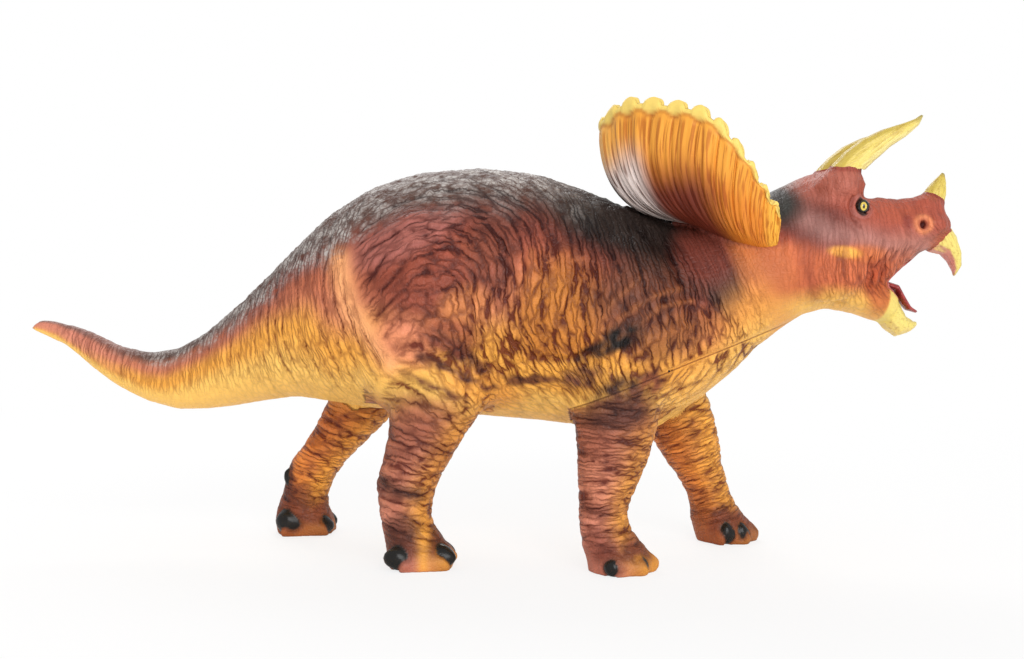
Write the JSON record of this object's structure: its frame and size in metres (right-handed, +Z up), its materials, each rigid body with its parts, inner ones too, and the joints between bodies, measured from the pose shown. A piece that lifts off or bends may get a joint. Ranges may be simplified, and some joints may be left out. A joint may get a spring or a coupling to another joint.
{
  "type": "toy dinosaur figure",
  "caption": "Walking horned dinosaur figure of hollow soft vinyl, with a fluted, scalloped neck frill, brow and nose horns, and a wide open beaked mouth.",
  "frame": {"origin": "middle of the figure's length and width, on the ground plane that the four soles stand on", "axes": "+X along the body towards the beak, +Y to the figure's own left, +Z up"},
  "size_m": [0.405, 0.1018, 0.191],
  "materials": {
    "back_vinyl": "soft vinyl, dark brown and maroon with pale dry-brushed ridges",
    "belly_vinyl": "soft vinyl, yellow orange",
    "tail_vinyl": "soft vinyl, grey on top, orange beneath, rosy tip",
    "head_vinyl": "soft vinyl, reddish brown with a satin sheen",
    "frill_vinyl": "soft vinyl, orange, fluted",
    "horn_vinyl": "satin vinyl, pale yellow with ochre streaks",
    "mouth_vinyl": "satin vinyl, dull red",
    "tongue_vinyl": "satin vinyl, dark red",
    "eye_plastic": "glossy black with a painted yellow ring",
    "near_leg_vinyl": "soft vinyl, rose and orange with dark brown creases",
    "far_leg_vinyl": "soft vinyl, orange with brown creases"
  },
  "bodies": {
    "root": {"back_shell": "back_vinyl", "chest_shell": "belly_vinyl", "tail": "tail_vinyl", "head_shell": "head_vinyl", "frill": "frill_vinyl", "brow_horn_right": "horn_vinyl", "brow_horn_left": "horn_vinyl", "nose_horn": "horn_vinyl", "upper_beak": "horn_vinyl", "lower_beak": "horn_vinyl", "mouth_lining": "mouth_vinyl", "tongue": "tongue_vinyl", "eye_right": "eye_plastic", "eye_left": "eye_plastic", "foreleg_right": "near_leg_vinyl", "foreleg_left": "far_leg_vinyl", "hind_leg_right": "near_leg_vinyl", "hind_leg_left": "far_leg_vinyl"}
  },
  "joints": []
}
